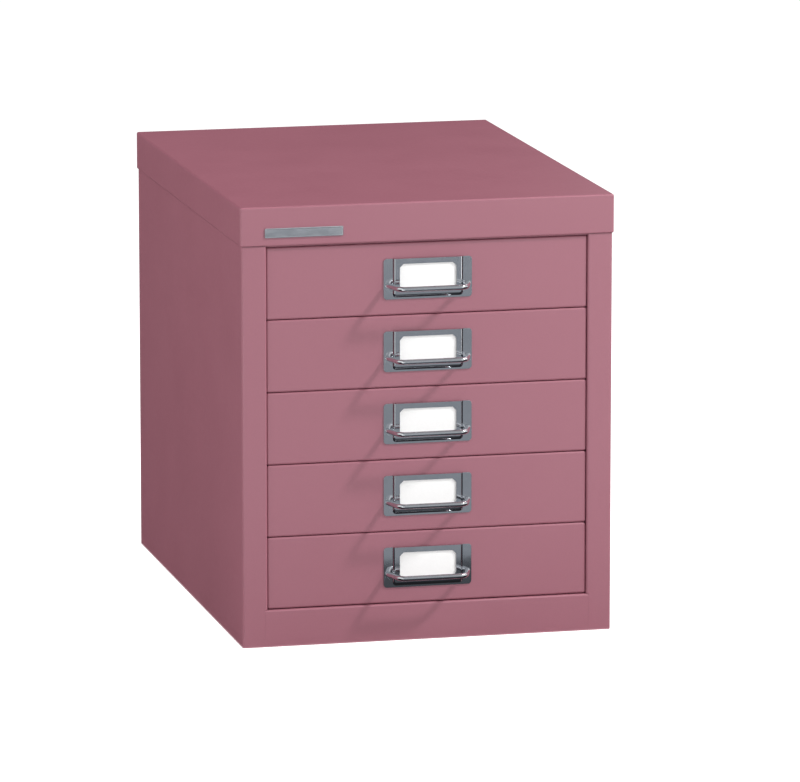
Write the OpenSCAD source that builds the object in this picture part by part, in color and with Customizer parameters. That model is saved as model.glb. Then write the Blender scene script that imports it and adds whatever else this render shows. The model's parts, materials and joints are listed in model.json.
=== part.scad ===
/* [Cabinet] */
// Width over the lid
cab_w = 279; // [255:1:320]
// Depth over the lid
cab_d = 380; // [345:1:430]
// Height from the floor to the top of the lid
cab_h = 325; // [300:1:370]
// Thickness of the carcass sheet
body_t = 0.9; // [0.7:0.05:1.1]
// Outside radius of the carcass folds
fold_r = 1.5; // [1.1:0.1:1.6]
// Width of the stile on each side of the drawers
stile_w = 18.5; // [17:0.5:24]
// Depth of the fold behind a stile
return_d = 14; // [12:0.5:17]
// Width of the lip at the end of that fold
lip_w = 10; // [6:0.5:12]
// Width of the flange round the back
rear_flange_w = 15; // [10:0.5:20]
// Width of the flange under the lid
top_flange_w = 15; // [10:0.5:20]
// Height of the bottom rail
rail_h = 27.5; // [22:0.1:34]
// How far the bottom rail laps past the drawer opening on each side
rail_lap = 2; // [1:0.1:4]
// Clearance round the bottom rail where it meets the stiles
rail_fit = 0.05; // [0.03:0.01:0.3]

/* [Lid] */
// Thickness of the lid sheet
lid_t = 0.9; // [0.8:0.05:1.1]
// Height of the lid's skirt
skirt_h = 28.6; // [24:0.2:36]
// Height of the folded hem at the skirt's lower edge
hem_h = 7; // [4:0.5:12]
// Radius of the lid's outer edges
lid_r = 1.5; // [1.2:0.1:2]
// How far the lid stands out past the carcass
lid_over = 1; // [0.8:0.1:1.4]
// Clearance between the hem and the neck of the carcass
lid_fit = 0.1; // [0.05:0.05:0.3]
// Shadow gap between the hem and the shoulder of the carcass
lid_gap = 0.3; // [0.2:0.1:1.5]
// How far the crossrail shows below the lid's skirt
header_drop = 1; // [0.6:0.1:2]
// Depth of the stiffener under the lid
stiffener_d = 12; // [8:1:18]
// Width of the stiffener's crown
stiffener_w = 60; // [40:5:90]
// Length of the blank name strip
badge_w = 58; // [40:1:70]
// Height of the blank name strip
badge_h = 7; // [5:0.5:9]
// Thickness of the blank name strip
badge_t = 0.8; // [0.6:0.1:1.2]
// Distance from the cabinet's left side to the name strip
badge_inset = 18; // [10:1:30]
// Height of the name strip's middle above the lower edge of the skirt
badge_up = 9.5; // [8:0.5:14]

/* [Frame] */
// Height of the turned-up edges of the base pan
pan_lip_h = 15; // [10:1:20]
// Width of an upright's crown
crown_w = 25; // [18:1:32]
// Width of an upright's feet
foot_w = 10; // [6:1:12]
// Distance between an upright's foot and the fold next to it
upright_clear = 4; // [2:0.5:8]
// Clearance at the ends of the uprights and of the lid's stiffener
end_fit = 0.3; // [0.1:0.1:1]

/* [Drawers] */
// Gap above and below each drawer front
front_gap = 0.6; // [0.4:0.1:2.4]
// Gap on each side of a drawer front
side_gap = 0.45; // [0.4:0.05:2.5]
// How far the drawer fronts lie behind the stiles
front_inset = 1.5; // [0.5:0.1:2]
// Depth of the drawer front pan
front_deep = 13; // [11:0.5:16]
// Thickness of the drawer front sheet
front_t = 0.8; // [0.7:0.05:1]
// Thickness of the tray sheet
tray_t = 0.7; // [0.6:0.05:0.9]
// Height of the tray's underside above the front's lower edge
tray_raise = 3; // [2:0.5:5]
// Distance from the tray's rim to the front's upper edge
rim_drop = 4.8; // [4.6:0.1:6]
// Width of the tray's out-turned rim
rim_w = 4; // [3:0.1:5]
// Clearance between the rim and the side of the opening
rim_clear = 1; // [0.6:0.1:1.5]
// Space between the tray and the back panel
tray_rear_gap = 5.2; // [4:0.2:12]
// Travel of a drawer from shut to its stop
travel = 290; // [200:5:305]

/* [Runners] */
// Thickness of the runner sheet
runner_t = 0.9; // [0.8:0.05:1.1]
// Side clearance between the rim and the runner's web
runner_play = 0.5; // [0.3:0.1:0.8]
// Clearance under the rim
ride_gap = 0.2; // [0.1:0.05:0.3]
// Headroom over the rim inside the runner
runner_room = 3; // [2.5:0.1:3.2]
// Overlap of the rim on the lower leg of the runner
rim_lap = 2.8; // [1.8:0.1:3]
// Clearance between moving and fixed stops
stop_gap = 0.3; // [0.2:0.1:0.5]
// Length of the stop pressed into the runner
stop_l = 3; // [2:0.5:6]

/* [Label holders] */
// Width of the holder plate
plate_w = 66; // [60:1:80]
// Height of the holder plate
plate_h = 30; // [26:0.5:36]
// Corner radius of the holder plate
plate_r = 2.5; // [1.5:0.1:4]
// Thickness of the holder plate
plate_t = 0.7; // [0.5:0.05:0.9]
// Width of the raised face of the label pocket
pocket_w = 49; // [47:0.2:50]
// Width of the slope down each side of the pocket
pocket_side = 1.8; // [1:0.1:2]
// Height of the slope at the pocket's lower end
pocket_foot = 3.8; // [2:0.1:4.2]
// Inside depth of the label pocket
pocket_up = 1.5; // [1:0.1:2]
// Height of the plate's lip under the pocket
pocket_lip = 1.4; // [1:0.1:3]
// Width of the label window
window_w = 42.3; // [36:0.1:44]
// Height of the label window
window_h = 19.3; // [15:0.1:20.5]
// Cut corners of the label window
window_c = 2.7; // [1:0.1:4]
// Height of the window's centre above the plate's centre
window_up = 1.45; // [1:0.05:2]
// Thickness of the label card
card_t = 0.35; // [0.2:0.05:0.5]
// Clearance round the label card
card_fit = 0.3; // [0.1:0.1:0.6]

/* [Pulls] */
// Diameter of the pull wire
wire_d = 3.8; // [3:0.1:4]
// Reach of the pull in front of the holder plate
pull_reach = 18; // [14:0.5:24]
// Distance between the corners of the pull
pull_w = 49; // [40:1:52]
// Distance between the roots of the pull
root_w = 59.6; // [59.4:0.1:60]
// Bend radius of the pull's front corners
corner_r = 6; // [4:0.5:8]
// Bend radius at the pull's roots
root_r = 5; // [3:0.5:8]
// How far the pull lies below the plate's centre
pull_drop = 4.8; // [3:0.1:7]
// Clearance round the wire in its holes
wire_fit = 0.05; // [0.03:0.01:0.1]
// Diameter of the washer behind the drawer front
washer_d = 9; // [8:0.5:11]
// Thickness of that washer
washer_t = 1; // [0.6:0.1:1.4]
// Thickness of the peened head on each wire end
head_t = 0.8; // [0.6:0.1:1.2]

/* [Hidden] */
$fn = 48;
SIDES = ["left", "right"];
drawer_count = 5;

PAINT = [0.67, 0.42, 0.48];
PAINT_INSIDE = [0.6, 0.37, 0.43];
CHROME = [0.8, 0.81, 0.83];
ZINC = [0.66, 0.67, 0.68];
CARD = [0.97, 0.97, 0.96];

// a cut runs this far past the faces it goes through
past = 1;

// carcass
body_x = cab_w / 2 - lid_over;
front_y = lid_over - cab_d / 2;
back_y = cab_d / 2 - lid_over;
wall_x = body_x - body_t;
open_x = body_x - stile_w;
return_y = front_y + return_d;
lid_under_z = cab_h - lid_t;
skirt_z = cab_h - skirt_h;
neck_z = skirt_z - lid_gap;
header_z = skirt_z - header_drop;
neck_in = 2 * lid_t + lid_fit - lid_over;
shoulder_z = neck_z - body_t;
panel_y = back_y - body_t;
pan_y = panel_y - body_t;
pan_flange_y = pan_y - body_t;
rail_x = open_x + rail_lap - rail_fit;

// drawers, counted from the top
pitch = (header_z - rail_h - front_gap) / drawer_count;
front_h = pitch - front_gap;
front_x = open_x - side_gap;
face_y = front_y + front_inset;
tray_y = face_y + front_deep;
tray_back_y = pan_y - tray_rear_gap;
rim_x = open_x - rim_clear;
tray_x = rim_x - rim_w;
rim_z = front_h - rim_drop;
tray_fold_r = 2 * tray_t;

// runners and uprights
runner_x = rim_x + runner_play;
crown_x = runner_x + runner_t;
leg_z = rim_z - tray_t - ride_gap;
roof_z = rim_z + runner_room;
runner_y = tray_y + tray_t + stop_gap;
runner_back_y = pan_y - tray_rear_gap / 2;
stop_y = tray_back_y - tray_t - travel - stop_gap;
upright_z = pan_lip_h + end_fit;
upright_top_z = shoulder_z - end_fit;
upright_front_y = return_y + upright_clear + foot_w;
upright_rear_y = pan_flange_y - upright_clear - foot_w - crown_w;

// pulls and label holders, measured from the middle of the plate
plate_z = front_h / 2;
plate_y = face_y - plate_t;
pocket_y = plate_y - pocket_up;
pocket_z = pocket_lip - plate_h / 2;
wire_r = wire_d / 2;
bar_y = plate_y - pull_reach;
root_y = plate_y - 2 * plate_t - wire_r / 2;
splay = atan((root_w - pull_w) / 2 / (root_y - bar_y));
washer_y = face_y + front_t;
head_y = washer_y + washer_t;
// thinning of the wire in its bends, and how many degrees a bend runs on into the straight
draw = 0.01;
lead = 1.5;

function drawer_z(k) = rail_h + front_gap + pitch * (drawer_count - k);

module at_drawer(k) { translate([0, 0, drawer_z(k)]) children(); }

module at_plate(k) { translate([0, 0, drawer_z(k) + plate_z]) children(); }

module on_side(side) { mirror([side == "left" ? 1 : 0, 0, 0]) children(); }

module both_sides() {
    children();
    mirror([1, 0, 0]) children();
}

// a rectangle by two corners
module span(x0, y0, x1, y1) { translate([x0, y0]) square([x1 - x0, y1 - y0]); }

// a rectangle by two corners, with round corners
module round_span(x0, y0, x1, y1, r) {
    span(x0 + r, y0, x1 - r, y1);
    span(x0, y0 + r, x1, y1 - r);
    for (x = [x0 + r, x1 - r], y = [y0 + r, y1 - r]) translate([x, y]) circle(r);
}

// a block by two corners
module block(a, b) { translate(a) cube(b - a); }

// an outline in x and z pushed back along y
module along_y(y0, y1) {
    translate([0, y1, 0]) rotate([90, 0, 0]) linear_extrude(y1 - y0) children();
}

// an outline in y and z pushed along x
module along_x(x0, x1) {
    translate([x0, 0, 0]) rotate([90, 0, 90]) linear_extrude(x1 - x0) children();
}

// plan of a side panel: wall, stile, fold behind the stile and its lip, rear flange
module side_plan(inset, wall) {
    difference() {
        round_span(open_x, front_y + inset, body_x - inset, back_y - inset, fold_r);
        span(open_x + body_t, front_y + inset + wall, body_x - inset - wall, back_y - inset - wall);
        span(open_x - past, return_y, body_x - rear_flange_w, back_y + past);
    }
    span(open_x, return_y - body_t, open_x + lip_w, return_y);
}

module side_panel(side) {
    seat_z = rail_h + rail_fit;
    color(PAINT) on_side(side) difference() {
        union() {
            linear_extrude(shoulder_z) side_plan(0, body_t);
            translate([0, 0, shoulder_z]) linear_extrude(body_t) side_plan(0, neck_in + body_t);
            translate([0, 0, neck_z]) linear_extrude(lid_under_z - neck_z) side_plan(neck_in, body_t);
            block([wall_x - neck_in - top_flange_w, upright_front_y, lid_under_z - body_t],
                  [wall_x, upright_rear_y, lid_under_z]);
        }
        // seat of the bottom rail
        block([open_x - past, front_y - past, -past], [open_x + rail_lap, return_y + past, seat_z]);
        block([open_x - past, front_y + body_t + fold_r, -past],
              [open_x + lip_w + past, return_y + past, seat_z]);
        // seat of the back panel above the shoulder
        block([open_x - past, panel_y - body_t, shoulder_z],
              [wall_x - neck_in, back_y + past, lid_under_z + past]);
    }
}

module back_panel() {
    half = wall_x - neck_in;
    color(PAINT) {
        block([-half, panel_y - body_t, 0], [half, panel_y, lid_under_z]);
        block([top_flange_w - half, panel_y - top_flange_w, lid_under_z - body_t],
              [half - top_flange_w, panel_y, lid_under_z]);
    }
}

module base_pan() {
    lip_x = open_x - body_t;
    lip_y = front_y + body_t;
    color(PAINT_INSIDE) {
        block([-wall_x, lip_y + fold_r, 0], [wall_x, pan_y, body_t]);
        block([-lip_x, lip_y, 0], [lip_x, lip_y + body_t + fold_r, body_t]);
        block([-lip_x, lip_y, 0], [lip_x, lip_y + body_t, pan_lip_h]);
        block([-wall_x, pan_flange_y, 0], [wall_x, pan_y, pan_lip_h]);
        both_sides() block([wall_x - body_t, return_y, 0], [wall_x, pan_y, pan_lip_h]);
    }
}

module bottom_rail() {
    color(PAINT) {
        along_x(-rail_x, rail_x) difference() {
            round_span(front_y, -fold_r, return_y, rail_h, fold_r);
            span(front_y + body_t, -fold_r - past, return_y - body_t, rail_h - body_t);
            span(front_y - past, -fold_r - past, return_y + past, 0);
            span(front_y + body_t, -past, return_y + past, rail_h - lip_w);
        }
        both_sides() block([rail_x - body_t, front_y + body_t / 2, body_t + rail_fit],
                           [rail_x, return_y, rail_h - fold_r]);
    }
}

module top_crossrail() {
    y0 = front_y + neck_in;
    color(PAINT_INSIDE) along_x(-open_x, open_x) {
        span(y0, header_z, y0 + body_t, lid_under_z);
        span(y0, header_z, return_y, header_z + body_t);
        span(y0, lid_under_z - body_t, return_y, lid_under_z);
    }
}

// the closed block that the lid's sheet wraps round, set in from the outside
module lid_block(inset, r, low_z) {
    x = cab_w / 2 - inset;
    y = cab_d / 2 - inset;
    top = cab_h - inset;
    intersection() {
        translate([0, 0, low_z]) linear_extrude(top - low_z) round_span(-x, -y, x, y, r);
        along_y(-y, y) round_span(-x, low_z - 2 * r, x, top, r);
        along_x(-x, x) round_span(-y, low_z - 2 * r, y, top, r);
    }
}

// one wall of the hem: the sheet doubled, with a round lower edge
module hem_wall(half) {
    span(half - 2 * lid_t, skirt_z + lid_t, half, skirt_z + hem_h);
    translate([half - lid_t, skirt_z + lid_t]) circle(lid_t);
}

module lid() {
    x = cab_w / 2;
    y = cab_d / 2;
    color(PAINT) {
        difference() {
            lid_block(0, lid_r, skirt_z + hem_h);
            lid_block(lid_t, lid_r - lid_t, skirt_z);
        }
        intersection() {
            translate([0, 0, skirt_z]) linear_extrude(hem_h) difference() {
                round_span(-x, -y, x, y, lid_r);
                span(2 * lid_t - x, 2 * lid_t - y, x - 2 * lid_t, y - 2 * lid_t);
            }
            union() {
                along_y(-y, y) both_sides() hem_wall(x);
                along_x(-x, x) both_sides() hem_wall(y);
            }
        }
    }
}

module lid_stiffener() {
    crown = stiffener_w / 2;
    low = lid_under_z - stiffener_d;
    half = wall_x - neck_in - top_flange_w - end_fit;
    color(PAINT_INSIDE) along_x(-half, half) {
        span(-crown, low, crown, low + body_t);
        both_sides() {
            span(crown - body_t, low, crown, lid_under_z);
            span(crown - body_t, lid_under_z - body_t, crown + foot_w, lid_under_z);
        }
    }
}

module badge_strip() {
    x0 = badge_inset - cab_w / 2;
    middle = skirt_z + badge_up;
    color(CHROME) along_y(-cab_d / 2 - badge_t, -cab_d / 2)
        round_span(x0, middle - badge_h / 2, x0 + badge_w, middle + badge_h / 2, badge_t);
}

// top-hat post between a side wall and the runners; y0 is the front edge of its crown
module upright(side, y0) {
    y1 = y0 + crown_w;
    h = upright_top_z - upright_z;
    color(PAINT_INSIDE) on_side(side) translate([0, 0, upright_z]) linear_extrude(h) {
        span(crown_x, y0, crown_x + body_t, y1);
        for (y = [y0, y1 - body_t]) span(crown_x, y, wall_x, y + body_t);
        span(wall_x - body_t, y0 - foot_w, wall_x, y0 + body_t);
        span(wall_x - body_t, y1 - body_t, wall_x, y1 + foot_w);
    }
}

// channel that the rim of a tray slides in, with a stop pressed down from its roof
module runner(side, k) {
    leg_x = rim_x - rim_lap;
    roof_x = leg_x + stop_gap + runner_t;
    color(PAINT_INSIDE) on_side(side) at_drawer(k) {
        along_y(runner_y, runner_back_y) {
            span(runner_x, leg_z - runner_t, crown_x, roof_z + runner_t);
            span(leg_x, leg_z - runner_t, crown_x, leg_z);
            span(roof_x, roof_z, crown_x, roof_z + runner_t);
        }
        block([roof_x, stop_y - stop_l, rim_z + stop_gap], [crown_x, stop_y, roof_z + runner_t]);
    }
}

module tray(k) {
    half = tray_x - tray_t;
    color(PAINT_INSIDE) at_drawer(k) {
        // floor, side walls and rims folded from one sheet
        along_y(tray_y, tray_back_y) {
            difference() {
                round_span(-tray_x, tray_raise, tray_x, rim_z + tray_fold_r, tray_fold_r);
                round_span(-half, tray_raise + tray_t, half, rim_z + 2 * tray_fold_r, tray_fold_r - tray_t);
                span(-tray_x - past, rim_z, tray_x + past, rim_z + 2 * tray_fold_r);
            }
            both_sides() span(half, rim_z - tray_t, rim_x, rim_z);
        }
        block([-front_x, tray_y, front_t / 2], [front_x, tray_y + tray_t, rim_z]);
        block([-tray_x, tray_back_y - tray_t, tray_raise + tray_fold_r], [tray_x, tray_back_y, rim_z]);
        block([-half, tray_back_y - tray_t, tray_raise], [half, tray_back_y, tray_raise + tray_fold_r]);
        // tabs that meet the stops in the runners
        both_sides() block([rim_x - rim_lap + stop_gap + runner_t, tray_back_y - tray_t, rim_z - tray_t],
                           [rim_x, tray_back_y, roof_z - stop_gap]);
    }
}

// holes for the two ends of a pull
module wire_holes(y0, y1) {
    both_sides() translate([root_w / 2, y1, -pull_drop]) rotate([90, 0, 0])
        cylinder(r = wire_r + wire_fit, h = y1 - y0);
}

module front(k) {
    color(PAINT) difference() {
        at_drawer(k) intersection() {
            linear_extrude(front_h) difference() {
                round_span(-front_x, face_y, front_x, tray_y + 2 * fold_r, fold_r);
                span(-front_x - past, tray_y, front_x + past, tray_y + 3 * fold_r);
            }
            along_x(-front_x, front_x) difference() {
                round_span(face_y, 0, tray_y + 2 * fold_r, front_h, fold_r);
                span(tray_y, -past, tray_y + 3 * fold_r, front_h + past);
            }
        }
        at_drawer(k) block([front_t - front_x, face_y + front_t, front_t],
                           [front_x - front_t, tray_y + past, front_h - front_t]);
        at_plate(k) wire_holes(face_y - past, face_y + front_t + past);
    }
}

module handle_plate(k) {
    half_w = plate_w / 2;
    half_h = plate_h / 2;
    half_p = pocket_w / 2;
    foot_x = half_p + pocket_side;
    face_z = pocket_z + pocket_foot;
    win_x = window_w / 2;
    win_z = window_h / 2;
    color(CHROME) at_plate(k) difference() {
        union() {
            along_y(plate_y, face_y) round_span(-half_w, -half_h, half_w, half_h, plate_r);
            // raised pocket, sloped down at its sides and its lower end
            intersection() {
                translate([0, 0, pocket_z]) linear_extrude(half_h - pocket_z) polygon([
                    [-foot_x, face_y], [-foot_x, plate_y], [-half_p, pocket_y],
                    [half_p, pocket_y], [foot_x, plate_y], [foot_x, face_y]]);
                along_x(-foot_x, foot_x) polygon([[face_y, pocket_z], [plate_y, pocket_z],
                    [pocket_y, face_z], [pocket_y, half_h], [face_y, half_h]]);
            }
        }
        // room for the card, open at the top
        block([-half_p, pocket_y + plate_t, face_z], [half_p, face_y + past, half_h + past]);
        // window with cut corners
        translate([0, 0, window_up]) along_y(pocket_y - past, face_y + past) polygon([
            [-win_x, window_c - win_z], [window_c - win_x, -win_z],
            [win_x - window_c, -win_z], [win_x, window_c - win_z],
            [win_x, win_z - window_c], [win_x - window_c, win_z],
            [window_c - win_x, win_z], [-win_x, win_z - window_c]
        ]);
        wire_holes(plate_y - past, face_y + past);
    }
}

// half of the pull from the middle of its bar to a peened end; the bends and the arm
// between them are drawn a hair thinner than the bar and the stem that they run into
module half_pull() {
    turn = 90 - splay;
    thin_r = wire_r - draw;
    corner_x = pull_w / 2 - corner_r * tan(turn / 2);
    bend_y = root_y + root_r * tan(splay / 2);
    slant = norm([(root_w - pull_w) / 2, root_y - bar_y]);
    arm = slant - corner_r * tan(turn / 2) - root_r * tan(splay / 2);
    translate([0, bar_y, 0]) rotate([0, 90, 0]) cylinder(r = wire_r, h = corner_x);
    translate([corner_x, bar_y + corner_r, 0]) rotate([0, 0, -splay]) {
        mirror([0, 1, 0]) rotate_extrude(angle = turn + lead) translate([corner_r, 0]) circle(thin_r);
        translate([corner_r, 0, 0]) rotate([-90, 0, 0]) cylinder(r = thin_r, h = arm);
        translate([corner_r - root_r, arm, 0]) rotate_extrude(angle = splay + lead)
            translate([root_r, 0]) circle(thin_r);
    }
    translate([root_w / 2, bend_y, 0]) rotate([-90, 0, 0]) cylinder(r = wire_r, h = head_y - bend_y);
    translate([root_w / 2, head_y, 0]) rotate([-90, 0, 0]) cylinder(r = wire_r + head_t, h = head_t);
}

module pull_wire(k) {
    color(CHROME) at_plate(k) translate([0, 0, -pull_drop]) both_sides() half_pull();
}

module label_card(k) {
    half = pocket_w / 2 - card_fit;
    color(CARD) at_plate(k) block([-half, face_y - card_t, pocket_z + pocket_foot + card_fit],
                                  [half, face_y, plate_h / 2 - card_fit]);
}

module pull_washers(k) {
    color(ZINC) at_plate(k) difference() {
        both_sides() translate([root_w / 2, head_y, -pull_drop]) rotate([90, 0, 0])
            cylinder(d = washer_d, h = washer_t);
        wire_holes(washer_y - past, head_y + past);
    }
}

lid();
lid_stiffener();
badge_strip();
back_panel();
base_pan();
bottom_rail();
top_crossrail();
for (s = SIDES) {
    side_panel(s);
    upright(s, upright_front_y);
    upright(s, upright_rear_y);
    for (k = [1:drawer_count]) runner(s, k);
}
for (k = [1:drawer_count]) {
    tray(k);
    front(k);
    handle_plate(k);
    pull_wire(k);
    label_card(k);
    pull_washers(k);
}
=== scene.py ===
import json
import math

import bmesh
import bpy
from mathutils import Matrix, Vector

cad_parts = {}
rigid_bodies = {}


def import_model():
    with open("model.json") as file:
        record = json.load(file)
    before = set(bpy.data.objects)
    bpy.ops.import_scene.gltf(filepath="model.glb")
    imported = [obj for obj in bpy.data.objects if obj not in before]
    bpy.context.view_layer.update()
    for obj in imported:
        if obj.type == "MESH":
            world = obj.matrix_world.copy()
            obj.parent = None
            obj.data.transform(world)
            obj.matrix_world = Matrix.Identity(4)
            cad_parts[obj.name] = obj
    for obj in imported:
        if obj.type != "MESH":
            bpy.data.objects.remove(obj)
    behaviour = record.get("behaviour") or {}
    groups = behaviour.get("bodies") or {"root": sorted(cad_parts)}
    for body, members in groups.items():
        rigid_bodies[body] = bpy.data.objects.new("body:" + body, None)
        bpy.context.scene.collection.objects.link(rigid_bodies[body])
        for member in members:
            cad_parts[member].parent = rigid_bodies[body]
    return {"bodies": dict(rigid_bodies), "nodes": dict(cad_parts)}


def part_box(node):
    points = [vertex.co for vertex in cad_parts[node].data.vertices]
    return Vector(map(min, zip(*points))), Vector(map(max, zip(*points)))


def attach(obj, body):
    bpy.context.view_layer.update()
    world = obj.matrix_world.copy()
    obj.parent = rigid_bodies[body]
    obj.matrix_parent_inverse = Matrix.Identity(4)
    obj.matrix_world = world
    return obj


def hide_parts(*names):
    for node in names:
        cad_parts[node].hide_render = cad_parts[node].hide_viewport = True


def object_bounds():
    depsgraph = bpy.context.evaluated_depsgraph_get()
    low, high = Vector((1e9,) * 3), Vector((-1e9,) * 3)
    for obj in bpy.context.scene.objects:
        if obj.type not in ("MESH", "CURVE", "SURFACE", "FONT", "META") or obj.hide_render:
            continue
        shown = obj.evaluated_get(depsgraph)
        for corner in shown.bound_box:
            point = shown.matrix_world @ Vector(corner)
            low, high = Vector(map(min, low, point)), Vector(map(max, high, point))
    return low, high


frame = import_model()
cad_low, cad_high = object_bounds()

# ---- Camera -------------------------------------------------------------------------------------
# A long lens from the left and a little above, so that the front, the left side and the lid show
# together with hardly any foreshortening.
camera_place = (-1.1509, -4.8929, 1.1050)
camera_turn = math.radians(13.507)
camera_tip = math.radians(10.759)
lens = bpy.data.cameras.new("camera")
lens.sensor_width = 36.0
lens.lens = 304.7
camera = bpy.data.objects.new("camera", lens)
camera.matrix_world = (
    Matrix.Translation(camera_place)
    @ Matrix.Rotation(-camera_turn, 4, "Z")
    @ Matrix.Rotation(math.radians(90) - camera_tip, 4, "X")
)
bpy.context.scene.collection.objects.link(camera)
bpy.context.scene.camera = camera

# ---- Carcass ------------------------------------------------------------------------------------
# Two side panels with the stiles folded round to the front, the back panel and the rail under the
# drawers. Each is 0.9 mm mild steel, folded and spot welded, then stoved in dusky pink enamel.
MM = 0.001
enamel_pink = (0.342, 0.1215, 0.1625)
enamel_waves = 0.12 * MM
orange_peel = 0.012 * MM
cut_edge = 0.15 * MM
join_within = 0.002 * MM
flat_within = math.radians(0.5)
flat_face_weight = 80


def add_node(tree, kind, sockets=None, **settings):
    """Adds a node, sets its options, and sets or plugs its inputs, named by label or number."""
    made = tree.nodes.new(kind)
    for name, value in settings.items():
        setattr(made, name, value)
    for key, value in (sockets or {}).items():
        if isinstance(value, bpy.types.NodeSocket):
            tree.links.new(value, made.inputs[key])
        else:
            made.inputs[key].default_value = value
    return made


def new_group(name, inputs, outputs):
    """An empty shader group with labelled inputs (label, kind, first value) and outputs."""
    tree = bpy.data.node_groups.new(name, "ShaderNodeTree")
    for label, kind, value in inputs:
        tree.interface.new_socket(label, in_out="INPUT", socket_type=kind).default_value = value
    for label, kind in outputs:
        tree.interface.new_socket(label, in_out="OUTPUT", socket_type=kind)
    return tree, tree.nodes.new("NodeGroupInput").outputs, tree.nodes.new("NodeGroupOutput").inputs


def wander(tree, spot, scale, low, high, detail=2.0):
    """A soft random value between low and high, with scale humps to the metre. The noise itself
    keeps between 0.3 and 0.7 nearly everywhere."""
    noise = add_node(tree, "ShaderNodeTexNoise", {"Vector": spot, "Scale": scale, "Detail": detail})
    spread = {"Value": noise.outputs[0], "From Min": 0.3, "From Max": 0.7,
              "To Min": low, "To Max": high}
    return add_node(tree, "ShaderNodeMapRange", spread).outputs[0]


def bumps(tree, height, depth, strength=1.0, under=None):
    """A normal from a height between 0 and 1 that stands for depth, laid over the normal under."""
    sockets = {"Strength": strength, "Distance": depth, "Height": height}
    if under is not None:
        sockets["Normal"] = under
    return add_node(tree, "ShaderNodeBump", sockets).outputs[0]


def tinted(tree, colour, shade):
    """A colour made lighter or darker by a factor."""
    return add_node(tree, "ShaderNodeVectorMath", {0: colour, "Scale": shade},
                    operation="SCALE").outputs[0]


def combined(tree, first, second, operation="ADD"):
    """Two values added, or combined in the way that operation names."""
    return add_node(tree, "ShaderNodeMath", {0: first, 1: second}, operation=operation).outputs[0]


def fill_outputs(tree, result, colour, rough, normal):
    """Plugs the three results of a surface group."""
    for label, value in (("Colour", colour), ("Roughness", rough), ("Normal", normal)):
        tree.links.new(value, result[label])


surface_outputs = [("Colour", "NodeSocketColor"), ("Roughness", "NodeSocketFloat"),
                   ("Normal", "NodeSocketVector")]


def enamel_skin_group():
    """Stoved enamel: orange peel, slight waves of flat sheet, uneven gloss and depth of colour."""
    tree, given, result = new_group(
        "enamel_skin",
        [("Colour", "NodeSocketColor", (0.8, 0.8, 0.8, 1)), ("Roughness", "NodeSocketFloat", 0.35),
         ("Peel", "NodeSocketFloat", 1.0), ("Waves", "NodeSocketFloat", 1.0)],
        surface_outputs,
    )
    spot = add_node(tree, "ShaderNodeTexCoord").outputs["Object"]
    depth = wander(tree, spot, scale=5.0, low=0.985, high=1.015)
    fleck = wander(tree, spot, scale=1500.0, low=0.985, high=1.015, detail=0.0)
    colour = tinted(tree, given["Colour"], combined(tree, depth, fleck, "MULTIPLY"))
    gloss = wander(tree, spot, scale=18.0, low=-0.025, high=0.025, detail=4.0)
    grain = wander(tree, spot, scale=260.0, low=-0.015, high=0.015)
    rough = combined(tree, given["Roughness"], combined(tree, gloss, grain))
    waves = wander(tree, spot, scale=9.0, low=0.0, high=1.0, detail=1.0)
    sheet = bumps(tree, waves, enamel_waves, given["Waves"])
    peel = wander(tree, spot, scale=480.0, low=0.0, high=1.0, detail=1.5)
    skin = bumps(tree, peel, orange_peel, given["Peel"], under=sheet)
    fill_outputs(tree, result, colour, rough, skin)
    return tree


enamel_skin = enamel_skin_group()


def new_material(name, skin, values, fixed):
    """A Principled material whose colour, roughness and normal come from a surface group."""
    material = bpy.data.materials.new(name)
    material.use_nodes = True
    tree = material.node_tree
    shader = tree.nodes["Principled BSDF"]
    for label, value in fixed.items():
        shader.inputs[label].default_value = value
    surface = add_node(tree, "ShaderNodeGroup", node_tree=skin)
    for label, value in values.items():
        surface.inputs[label].default_value = value
    for label, socket in (("Colour", "Base Color"), ("Roughness", "Roughness"),
                          ("Normal", "Normal")):
        tree.links.new(surface.outputs[label], shader.inputs[socket])
    return material


enamel_finish = {"Colour": (*enamel_pink, 1), "Roughness": 0.38, "Peel": 1.0, "Waves": 1.0}
enamel_gloss = {"Specular IOR Level": 1.0}
carcass_enamel = new_material("carcass_enamel", enamel_skin, enamel_finish, enamel_gloss)


def soften(piece, width, steps=2, angle=32):
    """Rounds the sharp edges of a piece and keeps its flat faces flat to the eye."""
    edge = piece.modifiers.new("soft edges", "BEVEL")
    edge.width = width
    edge.segments = steps
    edge.limit_method = "ANGLE"
    edge.angle_limit = math.radians(angle)
    edge.miter_outer = "MITER_ARC"
    normals = piece.modifiers.new("flat faces", "WEIGHTED_NORMAL")
    normals.weight = flat_face_weight


def dress(node, material, width=cut_edge, whole_faces=True):
    """Gives a ready-made piece its finish and takes the keenness off its cut edges. The triangles
    of a flat face are joined first, except where the face is a thin ring that has to keep them."""
    piece = frame["nodes"][node]
    piece.material_slots[0].material = material
    piece.modifiers.new("joined", "WELD").merge_threshold = join_within
    if whole_faces:
        flat = piece.modifiers.new("whole faces", "DECIMATE")
        flat.decimate_type = "DISSOLVE"
        flat.angle_limit = flat_within
    soften(piece, width)


for carcass_node in ("side_panel_left", "side_panel_right", "back_panel", "bottom_rail"):
    dress(carcass_node, carcass_enamel)

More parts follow.
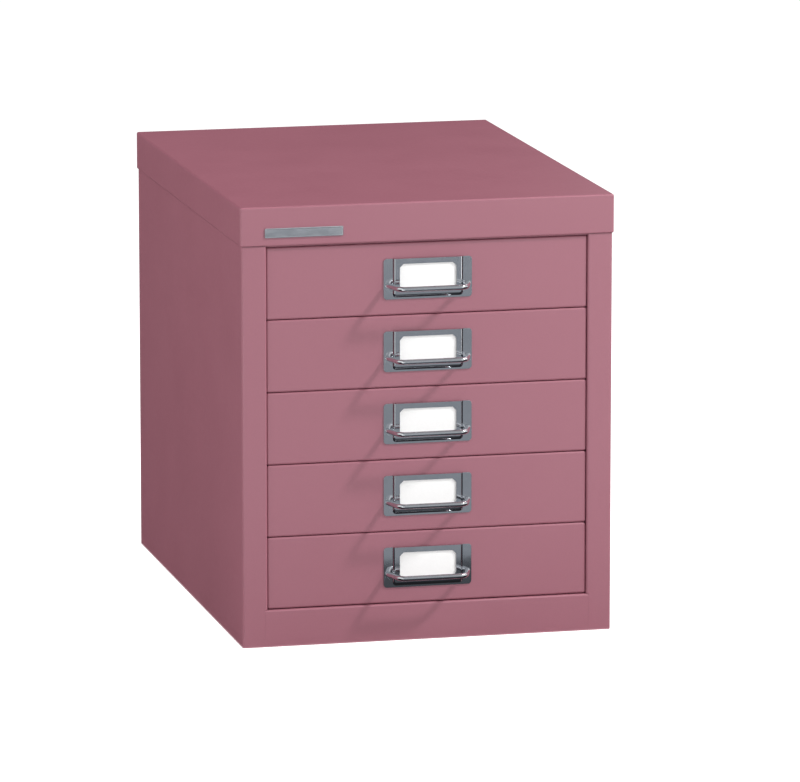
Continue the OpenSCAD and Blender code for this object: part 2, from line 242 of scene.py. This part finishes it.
# ---- Inner frame --------------------------------------------------------------------------------
# Base pan, crossrail behind the lid, lid stiffener and four top-hat uprights. They are folded from
# the same sheet, and the enamel reaches them thinner and duller.
inner_pink = (0.290, 0.106, 0.140)
inner_enamel = new_material(
    "inner_enamel", enamel_skin,
    {"Colour": (*inner_pink, 1), "Roughness": 0.50, "Peel": 1.6, "Waves": 1.0}, {})
dress("base_pan", inner_enamel, whole_faces=False)
for frame_node in ("top_crossrail", "lid_stiffener", "upright_front_left", "upright_front_right",
                   "upright_rear_left", "upright_rear_right"):
    dress(frame_node, inner_enamel)

# ---- Runners ------------------------------------------------------------------------------------
# Ten channels of 0.9 mm steel, one on each side of each drawer, welded to the uprights. Each has a
# stop pressed down near its front end.
drawers = range(1, 1 + sum(body.startswith("drawer_") for body in frame["bodies"]))
for number in drawers:
    for side in ("left", "right"):
        dress(f"runner_{side}_{number}", inner_enamel)

# ---- Lid ----------------------------------------------------------------------------------------
# One flat sheet of the same steel folded down on all four sides, its corners welded and ground
# smooth, with the lower edge of the skirt hemmed inwards. It drops over the neck of the carcass.
sheet_t = 0.9 * MM
lid_edge_r = 1.5 * MM
hem_height = 7.0 * MM
smallest_r = 0.05 * MM
arc_steps = 6


def round_rect(half_w, half_h, radius):
    """Points round a rectangle with round corners, anticlockwise."""
    points = []
    for quarter, (side, end) in enumerate(((1, 1), (-1, 1), (-1, -1), (1, -1))):
        for step in range(arc_steps + 1):
            angle = math.radians(90 * (quarter + step / arc_steps))
            points.append((side * (half_w - radius) + radius * math.cos(angle),
                           end * (half_h - radius) + radius * math.sin(angle)))
    return points


def arc(centre, radius, start, end):
    """Points along an arc, with its angles in degrees."""
    angles = [math.radians(start + (end - start) * step / arc_steps)
              for step in range(arc_steps + 1)]
    return [(centre[0] + radius * math.cos(a), centre[1] + radius * math.sin(a)) for a in angles]


def new_piece(name, mesh_builder, material):
    """Turns a finished bmesh into a piece at the origin."""
    mesh = bpy.data.meshes.new(name)
    mesh_builder.to_mesh(mesh)
    mesh_builder.free()
    mesh.shade_smooth()
    mesh.materials.append(material)
    piece = bpy.data.objects.new(name, mesh)
    bpy.context.scene.collection.objects.link(piece)
    return piece


def folded_pan(name, half_w, half_h, corner_r, profile, place, material):
    """A shallow pan: profile runs from the middle of its inside, round its rim, to the middle of
    its outside, as (inset from the outline, level). place makes (across, up, level) a point."""
    build = bmesh.new()
    rows = []
    for inset, level in profile:
        outline = round_rect(half_w - inset, half_h - inset, max(corner_r - inset, smallest_r))
        rows.append([build.verts.new(place(across, up, level)) for across, up in outline])
    for row, following in zip(rows, rows[1:]):
        for i in range(len(row)):
            j = (i + 1) % len(row)
            build.faces.new((row[i], row[j], following[j], following[i]))
    build.faces.new(rows[0])
    build.faces.new(rows[-1])
    bmesh.ops.recalc_face_normals(build, faces=build.faces)
    return new_piece(name, build, material)


lid_low, lid_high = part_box("lid")
inner_fold_r = lid_edge_r - sheet_t
lid_profile = (
    arc((sheet_t + inner_fold_r, lid_high.z - lid_edge_r), inner_fold_r, 90, 180)
    + [(sheet_t, lid_low.z + hem_height), (2 * sheet_t, lid_low.z + hem_height)]
    + arc((sheet_t, lid_low.z + sheet_t), sheet_t, 0, -180)
    + arc((lid_edge_r, lid_high.z - lid_edge_r), lid_edge_r, 180, 90)
)
lid = folded_pan("lid_sheet", lid_high.x, lid_high.y, lid_edge_r, lid_profile,
                 lambda across, up, level: (across, up, level), carcass_enamel)
soften(lid, cut_edge)
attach(lid, "cabinet")
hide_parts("lid")

# ---- Name strip ---------------------------------------------------------------------------------
# A plain blank strip of chromed steel riveted from behind to the left end of the lid's skirt. It
# has a polished rim round a field that lies a hair lower.
strip_corner = 0.8 * MM
strip_rim = 0.7 * MM
strip_sink = 0.15 * MM
strip_edge = 0.12 * MM
chrome_grey = (0.60, 0.62, 0.65)
chrome_waves = 0.007 * MM


def chrome_skin_group():
    """Chrome plate: faint smudges, hair-fine polishing marks and slow waves of pressed steel."""
    tree, given, result = new_group(
        "chrome_skin",
        [("Colour", "NodeSocketColor", (0.6, 0.6, 0.6, 1)), ("Roughness", "NodeSocketFloat", 0.06),
         ("Waves", "NodeSocketFloat", 1.0)],
        surface_outputs,
    )
    spot = add_node(tree, "ShaderNodeTexCoord").outputs["Object"]
    haze = wander(tree, spot, scale=90.0, low=0.0, high=0.03, detail=3.0)
    streaks = add_node(tree, "ShaderNodeMapping", {"Vector": spot, "Scale": (1.0, 1.0, 30.0)})
    polish = wander(tree, streaks.outputs[0], scale=220.0, low=0.0, high=0.02)
    rough = combined(tree, given["Roughness"], combined(tree, haze, polish))
    shade = wander(tree, spot, scale=140.0, low=0.97, high=1.03)
    colour = tinted(tree, given["Colour"], shade)
    waves = wander(tree, spot, scale=130.0, low=0.0, high=1.0, detail=1.0)
    skin = bumps(tree, waves, chrome_waves, given["Waves"])
    fill_outputs(tree, result, colour, rough, skin)
    return tree


chrome_skin = chrome_skin_group()
chrome = new_material("bright_chrome", chrome_skin,
                      {"Colour": (*chrome_grey, 1), "Roughness": 0.05, "Waves": 1.0},
                      {"Metallic": 1.0})
strip_low, strip_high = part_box("badge_strip")
strip_middle = (strip_low + strip_high) / 2
strip_half = (strip_high - strip_low) / 2
strip_profile = [
    (strip_rim, strip_high.y), (0, strip_high.y), (0, strip_low.y), (strip_rim, strip_low.y),
    (strip_rim + strip_sink, strip_low.y + strip_sink),
]
strip = folded_pan(
    "name_strip", strip_half.x, strip_half.z, strip_corner, strip_profile,
    lambda across, up, level: (strip_middle.x + across, level, strip_middle.z + up), chrome)
soften(strip, strip_edge, steps=3)
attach(strip, "cabinet")
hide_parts("badge_strip")

# ---- Drawer fronts ------------------------------------------------------------------------------
# Five equal pans of 0.8 mm steel with folded edges and ground corners, enamelled like the carcass
# and welded to the front of each tray. The folds spring outwards and narrow the gaps a little.
front_t = 0.8 * MM
front_fold_r = 1.5 * MM
side_spring = 0.25 * MM
edge_spring = 0.1 * MM
drawer_enamel = new_material("drawer_enamel", enamel_skin, enamel_finish, enamel_gloss)
front_inner_r = front_fold_r - front_t
for number in drawers:
    low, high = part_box(f"front_{number}")
    middle = (low + high) / 2
    half = (high - low) / 2
    front_profile = (
        arc((front_t + front_inner_r, low.y + front_fold_r), front_inner_r, -90, -180)
        + [(front_t, high.y), (0, high.y)]
        + arc((front_fold_r, low.y + front_fold_r), front_fold_r, 180, 270)
    )
    front = folded_pan(
        f"drawer_front_{number}", half.x + side_spring, half.z + edge_spring, front_fold_r,
        front_profile, lambda across, up, level, z=middle.z: (across, level, z + up), drawer_enamel)
    soften(front, cut_edge)
    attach(front, f"drawer_{number}")
    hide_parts(f"front_{number}")

# ---- Trays --------------------------------------------------------------------------------------
# Each drawer is a tray of 0.7 mm steel, its floor and sides folded from one sheet with the rims
# turned outwards to slide in the runners.
tray_edge = 0.1 * MM
for number in drawers:
    dress(f"tray_{number}", drawer_enamel, tray_edge, whole_faces=False)

# ---- Label holders ------------------------------------------------------------------------------
# A plate of 0.7 mm steel pressed up in the middle into a pocket, with a window cut out of it, then
# chromed. The pocket is open at the top for the card, and the pull's ends hold the plate.
holder_t = 0.7 * MM
holder_corner = 2.5 * MM
pocket_half = 24.5 * MM
pocket_rise = 1.5 * MM
pocket_side_run = 1.8 * MM
pocket_foot_run = 3.8 * MM
pocket_lip = 1.4 * MM
pocket_face_corner = 1.2 * MM
pocket_foot_corner = 2.6 * MM
# how far the pocket's edge has come inwards and upwards, as shares of its run and its rise
pocket_swell = ((0.0, 0.0), (0.30, 0.51), (0.50, 0.79), (0.67, 0.93), (0.83, 0.985), (1.0, 1.0))
window_half_w = 21.15 * MM
window_half_h = 9.65 * MM
window_cut = 2.7 * MM
window_up = 1.45 * MM
wire_hole_r = 1.95 * MM
wire_holes_apart = 59.6 * MM
pull_drop = 4.8 * MM
hole_points = 24
press_edge = 0.25 * MM


def trough(half_w, foot, top, radius):
    """Points down one side, round the foot and up the other side of an outline open at the top."""
    left_turn = arc((radius - half_w, foot + radius), radius, 180, 270)
    right_turn = arc((half_w - radius, foot + radius), radius, 270, 360)
    return [(-half_w, top)] + left_turn + right_turn + [(half_w, top)]


def holder_plate(name, middle, back_y, half_w, half_h):
    """The pressed plate round its middle (x, z), as one skin that stands for its front side."""
    build = bmesh.new()

    def path(points, level, closed=False):
        """Adds points joined by edges, level in front of back_y, and gives back both."""
        verts = [build.verts.new((middle[0] + x, back_y - level, middle[1] + z)) for x, z in points]
        edges = [build.edges.new(pair) for pair in zip(verts, verts[1:])]
        if closed:
            edges.append(build.edges.new((verts[-1], verts[0])))
        return verts, edges

    flange_level = holder_t
    face_level = holder_t + pocket_rise
    foot = pocket_lip - half_h

    # the pressed edge of the pocket, from the flange up to its face
    rows = []
    for inwards, upwards in pocket_swell:
        corner = pocket_foot_corner + (pocket_face_corner - pocket_foot_corner) * inwards
        half_pocket = pocket_half + pocket_side_run * (1 - inwards)
        outline = trough(half_pocket, foot + pocket_foot_run * inwards, half_h, corner)
        rows.append(path(outline, flange_level + pocket_rise * upwards))
    for (row, _), (following, _) in zip(rows, rows[1:]):
        for i in range(len(row) - 1):
            build.faces.new((row[i], row[i + 1], following[i + 1], following[i]))

    # the face of the pocket, round the window
    base, base_edges = rows[0]
    brow, brow_edges = rows[-1]
    window = [(side * (window_half_w - cut_w), window_up + end * (window_half_h - cut_h))
              for side, end, cut_w, cut_h in (
                  (1, 1, 0, window_cut), (1, 1, window_cut, 0),
                  (-1, 1, window_cut, 0), (-1, 1, 0, window_cut),
                  (-1, -1, 0, window_cut), (-1, -1, window_cut, 0),
                  (1, -1, window_cut, 0), (1, -1, 0, window_cut))]
    window_edges = path(window, face_level, closed=True)[1]
    top_edge = build.edges.new((brow[0], brow[-1]))
    face_edges = brow_edges + window_edges + [top_edge]
    bmesh.ops.triangle_fill(build, edges=face_edges, use_dissolve=False)

    # the flange round the pocket, with the two holes for the wire
    outline = trough(half_w, -half_h, half_h - holder_corner, holder_corner)
    left_corner = arc((holder_corner - half_w, half_h - holder_corner), holder_corner, 90, 180)[:-1]
    right_corner = arc((half_w - holder_corner, half_h - holder_corner), holder_corner, 0, 90)[1:]
    rim, rim_edges = path(left_corner + outline + right_corner, flange_level)
    sides = [build.edges.new((rim[0], base[0])), build.edges.new((rim[-1], base[-1]))]
    holes = []
    for side in (-1, 1):
        hole = [(side * wire_holes_apart / 2 + wire_hole_r * math.cos(a),
                 wire_hole_r * math.sin(a) - pull_drop)
                for a in (math.tau * step / hole_points for step in range(hole_points))]
        holes += path(hole, flange_level, closed=True)[1]
    flange_edges = rim_edges + base_edges + sides + holes
    bmesh.ops.triangle_fill(build, edges=flange_edges, use_dissolve=False)

    # all faces point to the front
    bmesh.ops.recalc_face_normals(build, faces=build.faces)
    if sum(face.normal.y * face.calc_area() for face in build.faces) > 0:
        bmesh.ops.reverse_faces(build, faces=build.faces)
    return new_piece(name, build, chrome)


for number in drawers:
    low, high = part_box(f"handle_plate_{number}")
    half = (high - low) / 2
    holder = holder_plate(
        f"label_holder_{number}", (0, (low.z + high.z) / 2), high.y, half.x, half.z)
    wall = holder.modifiers.new("sheet", "SOLIDIFY")
    wall.thickness = holder_t
    wall.offset = -1
    wall.use_even_offset = True
    soften(holder, press_edge, steps=3, angle=15)
    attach(holder, f"drawer_{number}")
    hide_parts(f"handle_plate_{number}")

# ---- Label cards --------------------------------------------------------------------------------
# A blank card cut to the pocket, slipped in from the top. It bows forward between its ends, as
# stiff paper does, and lies flat against the window over most of its length.
card_white = (0.93, 0.93, 0.925)
card_t = 0.35 * MM
card_bow = 1.10 * MM
card_roundness = 0.12  # 1 would be a round bow, and less is flatter between the ends
card_columns = 24
card_edge = 0.05 * MM
card_tooth = 0.01 * MM


def card_skin_group():
    """Matt card: fibres that show as a faint mottle and a fine tooth."""
    tree, given, result = new_group(
        "card_skin",
        [("Colour", "NodeSocketColor", (0.9, 0.9, 0.9, 1)), ("Roughness", "NodeSocketFloat", 0.9)],
        surface_outputs,
    )
    spot = add_node(tree, "ShaderNodeTexCoord").outputs["Object"]
    mottle = wander(tree, spot, scale=700.0, low=0.985, high=1.01, detail=5.0)
    colour = tinted(tree, given["Colour"], mottle)
    tooth = wander(tree, spot, scale=3500.0, low=0.0, high=1.0, detail=3.0)
    fill_outputs(tree, result, colour, given["Roughness"], bumps(tree, tooth, card_tooth))
    return tree


card = new_material("white_card", card_skin_group(),
                    {"Colour": (*card_white, 1), "Roughness": 0.85}, {})
for number in drawers:
    low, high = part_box(f"label_card_{number}")
    build = bmesh.new()
    columns = []
    for step in range(card_columns + 1):
        share = step / card_columns
        x = low.x + (high.x - low.x) * share
        y = high.y - card_t - card_bow * math.sin(math.pi * share) ** card_roundness
        columns.append([build.verts.new((x, y, z)) for z in (low.z, high.z)])
    for here, beside in zip(columns, columns[1:]):
        build.faces.new((here[0], beside[0], beside[1], here[1]))
    slip = new_piece(f"card_{number}", build, card)
    sheet = slip.modifiers.new("paper", "SOLIDIFY")
    sheet.thickness = card_t
    sheet.offset = -1
    soften(slip, card_edge, angle=60)
    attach(slip, f"drawer_{number}")
    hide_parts(f"label_card_{number}")

# ---- Pulls --------------------------------------------------------------------------------------
# Each pull is one length of 3.8 mm steel wire bent into a bow and chromed. Its ends pass through
# the holder and the drawer front and are peened over washers behind it.
wire_r = 1.9 * MM
wire_sides = 24
bow_w = 49.0 * MM
bow_corner_r = 6.0 * MM
bow_root_r = 5.0 * MM
bend_steps = 14
root_stand = 3 * holder_t
peen_step = 0.02 * MM
peen_length = 0.5 * MM
peen_girth = 1.42
tip_girth = 0.9


def begin_tree(name, start, end, sizes):
    """A Geometry Nodes tree that is still empty, with labelled sizes of the kinds given."""
    tree = bpy.data.node_groups.new(name, "GeometryNodeTree")
    for label, kind in {start: "Geometry", **sizes}.items():
        tree.interface.new_socket(label, in_out="INPUT", socket_type=f"NodeSocket{kind}")
    tree.interface.new_socket(end, in_out="OUTPUT", socket_type="NodeSocketGeometry")
    given = tree.nodes.new("NodeGroupInput").outputs
    return tree, given, tree.nodes.new("NodeGroupOutput").inputs[end]


def end_tree(tree, geometry, finish, end):
    """Ends a tree with real geometry in place of instances, and its finish on."""
    whole = add_node(tree, "GeometryNodeRealizeInstances", {0: geometry})
    finished = add_node(tree, "GeometryNodeSetMaterial",
                        {"Geometry": whole.outputs[0], "Material": finish})
    tree.links.new(finished.outputs[0], end)


def swept_wire_tree():
    """Geometry Nodes that bend a chain of points at their own radii and sweep wire along it."""
    tree, given, end = begin_tree("swept_wire", "Path", "Wire", {
        "Wire radius": "Float", "Sides": "Int", "Steps in a bend": "Int", "Finish": "Material"})
    chain = add_node(tree, "GeometryNodeMeshToCurve", {"Mesh": given["Path"]})
    bend = add_node(tree, "GeometryNodeInputNamedAttribute", {"Name": "bend_r"}, data_type="FLOAT")
    turned = add_node(tree, "GeometryNodeFilletCurve",
                      {"Curve": chain.outputs[0], "Radius": bend.outputs[0],
                       "Count": given["Steps in a bend"], "Limit Radius": True}, mode="POLY")
    girth = add_node(tree, "GeometryNodeInputNamedAttribute", {"Name": "girth"}, data_type="FLOAT")
    section = add_node(tree, "GeometryNodeCurvePrimitiveCircle",
                       {"Resolution": given["Sides"], "Radius": given["Wire radius"]})
    swept = add_node(tree, "GeometryNodeCurveToMesh",
                     {"Curve": turned.outputs[0], "Profile Curve": section.outputs[0],
                      "Scale": girth.outputs[0], "Fill Caps": True})
    end_tree(tree, swept.outputs[0], given["Finish"], end)
    return tree


swept_wire = swept_wire_tree()


def run_tree(source, tree, name, values):
    """Runs a Geometry Nodes tree on source with named inputs, and keeps the result as a piece."""
    bpy.context.scene.collection.objects.link(source)
    steps = source.modifiers.new("build", "NODES")
    steps.node_group = tree
    for label, value in values.items():
        steps[tree.interface.items_tree[label].identifier] = value
    shown = source.evaluated_get(bpy.context.evaluated_depsgraph_get())
    mesh = bpy.data.meshes.new_from_object(shown)
    mesh.name = name
    mesh.shade_smooth()
    source.modifiers.remove(steps)
    bpy.data.objects.remove(source)
    piece = bpy.data.objects.new(name, mesh)
    bpy.context.scene.collection.objects.link(piece)
    return piece


for number in drawers:
    low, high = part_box(f"pull_wire_{number}")
    bar_y = low.y + wire_r
    level = (low.z + high.z) / 2
    root_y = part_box(f"handle_plate_{number}")[1].y - root_stand
    head_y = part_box(f"pull_washers_{number}")[1].y
    half_path = [  # distance from the middle, y, bend radius, girth
        (bow_w / 2, bar_y, bow_corner_r, 1.0),
        (wire_holes_apart / 2, root_y, bow_root_r, 1.0),
        (wire_holes_apart / 2, head_y - peen_step, 0.0, 1.0),
        (wire_holes_apart / 2, head_y, 0.0, peen_girth),
        (wire_holes_apart / 2, head_y + peen_length, 0.0, peen_girth),
        (wire_holes_apart / 2, high.y, 0.0, tip_girth),
    ]
    path = [(-x, y, r, g) for x, y, r, g in reversed(half_path)] + half_path
    chain = bpy.data.meshes.new("path")
    chain.from_pydata([(x, y, level) for x, y, r, g in path],
                      [(i, i + 1) for i in range(len(path) - 1)], [])
    for label, column in (("bend_r", 2), ("girth", 3)):
        values = chain.attributes.new(label, "FLOAT", "POINT").data
        values.foreach_set("value", [point[column] for point in path])
    pull = run_tree(bpy.data.objects.new("path", chain), swept_wire, f"pull_{number}",
                    {"Wire radius": wire_r, "Sides": wire_sides, "Steps in a bend": bend_steps,
                     "Finish": chrome})
    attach(pull, f"drawer_{number}")
    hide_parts(f"pull_wire_{number}")

# ---- Washers ------------------------------------------------------------------------------------
# Two plain washers of zinc-plated steel behind each drawer front. They spread the load of the wire
# ends, which are peened over them.
zinc_grey = (0.50, 0.51, 0.53)
washer_edge = 0.1 * MM
zinc = new_material("bright_zinc", chrome_skin,
                    {"Colour": (*zinc_grey, 1), "Roughness": 0.32, "Waves": 2.0},
                    {"Metallic": 1.0})
for number in drawers:
    dress(f"pull_washers_{number}", zinc, washer_edge)

# ---- Spot welds ---------------------------------------------------------------------------------
# The back panel is spot welded to the flanges of the side panels and to the upturned edge of the
# base pan. Each weld leaves a round mark with a slight ridge, and the enamel covers it.
weld_r = 2.3 * MM
weld_sides = 32
ridge_r = 0.60 * MM
ridge_sides = 12
ridge_flatness = 0.5
flange_w = 15.0 * MM
weld_margin = 20.0 * MM
welds_up = 6
welds_across = 5


def weld_marks_tree():
    """Geometry Nodes that set one flattened ring, facing back, on every point of a mesh."""
    tree, given, end = begin_tree("weld_marks", "Places", "Marks", {
        "Mark radius": "Float", "Mark sides": "Int", "Ridge radius": "Float", "Ridge sides": "Int",
        "Flatness": "Float", "Finish": "Material"})
    rim = add_node(tree, "GeometryNodeCurvePrimitiveCircle",
                   {"Resolution": given["Mark sides"], "Radius": given["Mark radius"]})
    ridge = add_node(tree, "GeometryNodeCurvePrimitiveCircle",
                     {"Resolution": given["Ridge sides"], "Radius": given["Ridge radius"]})
    ring = add_node(tree, "GeometryNodeCurveToMesh",
                    {"Curve": rim.outputs[0], "Profile Curve": ridge.outputs[0]})
    pressed = add_node(tree, "ShaderNodeCombineXYZ", {"X": 1.0, "Y": 1.0, "Z": given["Flatness"]})
    flat_ring = add_node(tree, "GeometryNodeTransform",
                         {"Geometry": ring.outputs[0], "Scale": pressed.outputs[0]})
    marks = add_node(tree, "GeometryNodeInstanceOnPoints",
                     {"Points": given["Places"], "Instance": flat_ring.outputs[0],
                      "Rotation": (math.radians(90), 0.0, 0.0)})
    end_tree(tree, marks.outputs[0], given["Finish"], end)
    return tree


flange_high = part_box("side_panel_right")[1]
pan_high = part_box("base_pan")[1]
back_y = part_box("back_panel")[1].y
lowest, highest = weld_margin, lid_low.z - weld_margin
widest = pan_high.x - 2 * flange_w
weld_places = [(side * (flange_high.x - flange_w / 2), flange_high.y,
                lowest + (highest - lowest) * step / (welds_up - 1))
               for side in (-1, 1) for step in range(welds_up)]
weld_places += [(widest * (2 * step / (welds_across - 1) - 1), back_y, pan_high.z / 2)
                for step in range(welds_across)]
places = bpy.data.meshes.new("places")
places.from_pydata(weld_places, [], [])
weld_marks = run_tree(bpy.data.objects.new("places", places), weld_marks_tree(), "spot_welds",
                      {"Mark radius": weld_r, "Mark sides": weld_sides,
                       "Ridge radius": ridge_r, "Ridge sides": ridge_sides,
                       "Flatness": ridge_flatness, "Finish": carcass_enamel})
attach(weld_marks, "cabinet")

# ---- Studio -------------------------------------------------------------------------------------
# A pale floor under even white light. One small lamp stands high in front on the right, and three
# wide ones at the front, on the left and overhead don't show in gloss. Cards that glow only in
# gloss and light nothing paint the reflections: dim ones of the dim parts of the room, and a pale
# strip overhead paints a highlight along the folded edges and the pulls.
floor_reach = 20.0
floor_colour = (0.8, 0.8, 0.8)
ambient = 0.42
floor_lift = 1.0 - ambient * floor_colour[0]  # what the floor gives off to be seen as white


def bare_material(name):
    """A material with an output and nothing else."""
    material = bpy.data.materials.new(name)
    material.use_nodes = True
    material.node_tree.nodes.clear()
    return material, material.node_tree


def studio_plane(name, corners, material):
    """A flat card given by its corners."""
    mesh = bpy.data.meshes.new(name)
    mesh.from_pydata(corners, [], [tuple(range(len(corners)))])
    mesh.materials.append(material)
    plane = bpy.data.objects.new(name, mesh)
    bpy.context.scene.collection.objects.link(plane)
    return plane


def seen_directly(tree):
    """1 for what the camera sees, also in gloss or through glass, and 0 for the light on things."""
    path = add_node(tree, "ShaderNodeLightPath").outputs
    both = combined(tree, path["Is Camera Ray"], path["Is Glossy Ray"])
    return add_node(tree, "ShaderNodeMath", {0: both, 1: path["Is Transmission Ray"]},
                    operation="ADD", use_clamp=True).outputs[0]


floor_material, tree = bare_material("pale_floor")
matt = add_node(tree, "ShaderNodeBsdfDiffuse", {"Color": (*floor_colour, 1)})
lift = combined(tree, seen_directly(tree), floor_lift, "MULTIPLY")
glow = add_node(tree, "ShaderNodeEmission", {"Color": (1, 1, 1, 1), "Strength": lift})
both = add_node(tree, "ShaderNodeAddShader", {0: matt.outputs[0], 1: glow.outputs[0]})
add_node(tree, "ShaderNodeOutputMaterial", {"Surface": both.outputs[0]})
studio_plane("floor", [(-floor_reach, -floor_reach, 0), (floor_reach, -floor_reach, 0),
                       (floor_reach, floor_reach, 0), (-floor_reach, floor_reach, 0)],
             floor_material)

world = bpy.data.worlds.new("white_room")
bpy.context.scene.world = world
world.use_nodes = True
tree = world.node_tree
tree.nodes.clear()
light = add_node(tree, "ShaderNodeBackground", {"Color": (1, 1, 1, 1), "Strength": ambient})
backdrop = add_node(tree, "ShaderNodeBackground", {"Color": (1, 1, 1, 1), "Strength": 1.0})
room = add_node(tree, "ShaderNodeMixShader",
                {0: seen_directly(tree), 1: light.outputs[0], 2: backdrop.outputs[0]})
add_node(tree, "ShaderNodeOutputWorld", {"Surface": room.outputs[0]})

cabinet_middle = (cad_low + cad_high) / 2


def soft_lamp(name, towards, distance, size, share, mirrored=True):
    """A square lamp, given by its direction and distance from the middle of the cabinet, that
    gives a face turned to it that share of white. Gloss shows it only where it is mirrored."""
    data = bpy.data.lights.new(name, "AREA")
    data.shape = "SQUARE"
    data.size = size
    data.energy = share * (math.pi * distance) ** 2  # in watts
    lamp = bpy.data.objects.new(name, data)
    lamp.visible_glossy = mirrored
    way = Vector(towards).normalized()
    lamp.matrix_world = (Matrix.Translation(cabinet_middle + way * distance)
                         @ way.to_track_quat("Z", "Y").to_matrix().to_4x4())
    bpy.context.scene.collection.objects.link(lamp)


soft_lamp("high_lamp", (0.604, -0.410, 0.682), distance=2.2, size=0.20, share=0.68)
soft_lamp("front_lamp", (0.50, -0.85, 0.12), distance=1.8, size=1.0, share=0.235, mirrored=False)
soft_lamp("left_lamp", (-0.83, -0.12, 0.55), distance=2.0, size=1.4, share=0.47, mirrored=False)
soft_lamp("overhead_lamp", (-0.20, 0.25, 0.94), distance=2.0, size=0.8, share=0.17, mirrored=False)


def dull_card(name, corners, colour):
    """A card that shows in glossy surfaces and nowhere else: a painted reflection."""
    material, tree = bare_material(name)
    glow = add_node(tree, "ShaderNodeEmission", {"Color": (*colour, 1), "Strength": 1.0})
    add_node(tree, "ShaderNodeOutputMaterial", {"Surface": glow.outputs[0]})
    material.cycles.emission_sampling = "NONE"
    card_plane = studio_plane(name, corners, material)
    card_plane.visible_camera = False
    card_plane.visible_diffuse = False
    card_plane.visible_transmission = False
    card_plane.visible_volume_scatter = False
    card_plane.visible_shadow = False


def level_card(name, x, y, z, colour):
    """A card that lies level, from x[0] to x[1] and y[0] to y[1]."""
    dull_card(name, [(x[0], y[0], z), (x[1], y[0], z), (x[1], y[1], z), (x[0], y[1], z)], colour)


def upright_card(name, x, y, z, colour):
    """A card that stands across the view, from x[0] to x[1] and z[0] to z[1]."""
    dull_card(name, [(x[0], y, z[0]), (x[1], y, z[0]), (x[1], y, z[1]), (x[0], y, z[1])], colour)


front_face = cad_low.y
near_start, middle_start, middle_end = front_face - 0.03, front_face - 0.24, front_face - 1.9
room_front, room_back, room_height = -2.6, 1.4, 2.6
room_left, room_right = -1.6, 2.4
before_back, below_ceiling = 1.39, 2.58
on_floor = 1.0 * MM
pitch_dark = (0.02, 0.02, 0.02)
blue_dark = (0.02, 0.02, 0.025)
# painted reflections: dark and grey cards seen only in gloss, for the dim floor and walls round the
# cabinet
level_card("foot_card", (-0.4, 0.4), (near_start, front_face + 0.012), on_floor, blue_dark)
level_card("near_card", (-0.3, 0.6), (middle_start, near_start), on_floor, (0.085, 0.09, 0.10))
level_card("middle_card", (-0.2, 0.68), (middle_end, middle_start), on_floor, (0.32, 0.34, 0.37))
upright_card("front_card", (-1.5, 1.0), room_front, (0.0, room_height), (0.52, 0.53, 0.55))
upright_card("back_card", (room_left, room_right), room_back, (0.0, room_height), pitch_dark)
upright_card("back_right_card", (0.55, room_right), before_back, (0.0, 1.8), (0.30, 0.30, 0.30))
level_card("rear_card", (room_left, room_right), (front_face, room_back), on_floor, pitch_dark)

over_cards = 1.5 * MM
wedge_reach = 2.6
wedge_steps = 6


def floor_wedge(name, start, end, colour):
    """A card laid over the others between two directions from the foot of the front, in degrees
    to the right."""
    sweep = [math.radians(start + (end - start) * step / wedge_steps)
             for step in range(wedge_steps + 1)]
    rim = [(wedge_reach * math.sin(a), front_face - wedge_reach * math.cos(a), over_cards)
           for a in sweep]
    dull_card(name, [(0.0, front_face, over_cards)] + rim, colour)


floor_wedge("left_wedge", -48, -90, blue_dark)
floor_wedge("right_wedge", 90, 42, (0.03, 0.03, 0.035))
level_card("ceiling_card", (-1.8, 1.8), (room_front, room_back), room_height, (0.27, 0.28, 0.29))
# painted highlight: a pale strip seen only in gloss, laying a light line along the folded edges and
# the pulls' bars
level_card("highlight_strip", (-0.4, 1.6), (front_face - 1.3, front_face - 0.4), below_ceiling,
           (0.55, 0.55, 0.55))

bpy.context.scene.view_settings.view_transform = "Standard"
